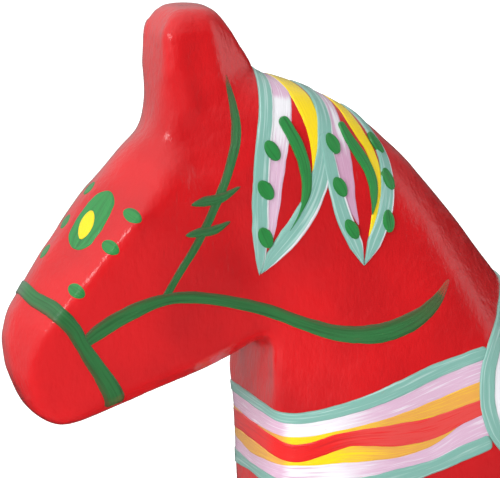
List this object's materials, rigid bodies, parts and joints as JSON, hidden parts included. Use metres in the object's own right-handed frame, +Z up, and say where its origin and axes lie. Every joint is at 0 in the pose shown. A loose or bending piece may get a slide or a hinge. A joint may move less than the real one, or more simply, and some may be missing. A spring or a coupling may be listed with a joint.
{
  "type": "carved painted wooden horse",
  "caption": "Carved pine horse standing on four sawn legs, lacquered red, with a hand-painted mane, bridle, saddle and straps.",
  "frame": {"origin": "centre of the box's underside, on the surface that the four soles stand on", "axes": "+Z up, -X the way the horse looks, -Y its left side"},
  "size_m": [0.125, 0.041, 0.1303],
  "materials": {
    "pine": "sanded bare pine",
    "red_lacquer": "glossy red lacquer, brushed and varnished",
    "leaf_green": "brushed green oil paint under varnish",
    "bridle_green": "dark green oil paint under varnish",
    "teal": "pale teal oil paint under varnish",
    "lilac": "lilac oil paint under varnish",
    "white": "white oil paint under varnish",
    "yellow": "yellow oil paint under varnish",
    "brush_red": "red oil paint under varnish"
  },
  "bodies": {
    "root": {"breast_lilac": "lilac", "breast_red": "brush_red", "breast_teal_low": "teal", "breast_teal_top": "teal", "breast_white": "white", "breast_yellow_low": "yellow", "breast_yellow_top": "yellow", "cheek_dots_left": "leaf_green", "cheek_dots_right": "leaf_green", "cheek_strap_left": "bridle_green", "cheek_strap_right": "bridle_green", "eye_dot_left": "yellow", "eye_dot_right": "yellow", "eye_ring_left": "leaf_green", "eye_ring_right": "leaf_green", "mane_border_front": "teal", "mane_border_rear": "teal", "mane_dots_front": "leaf_green", "mane_dots_rear": "leaf_green", "mane_leaf_front": "leaf_green", "mane_leaf_rear": "leaf_green", "mane_lilac": "lilac", "mane_white": "white", "mane_yellow_front": "yellow", "mane_yellow_rear": "yellow", "nose_dots": "leaf_green", "noseband": "bridle_green", "pine_core": "pine", "red_coat": "red_lacquer", "rein_left": "bridle_green", "rein_right": "bridle_green", "rump_lilac": "lilac", "rump_teal_low": "teal", "rump_teal_top": "teal", "rump_yellow": "yellow", "saddle_border": "teal", "saddle_field": "white", "saddle_flower_eye": "yellow", "saddle_leaves": "leaf_green", "saddle_petals": "brush_red", "strap_ticks_left": "bridle_green", "strap_ticks_right": "bridle_green"}
  },
  "joints": []
}
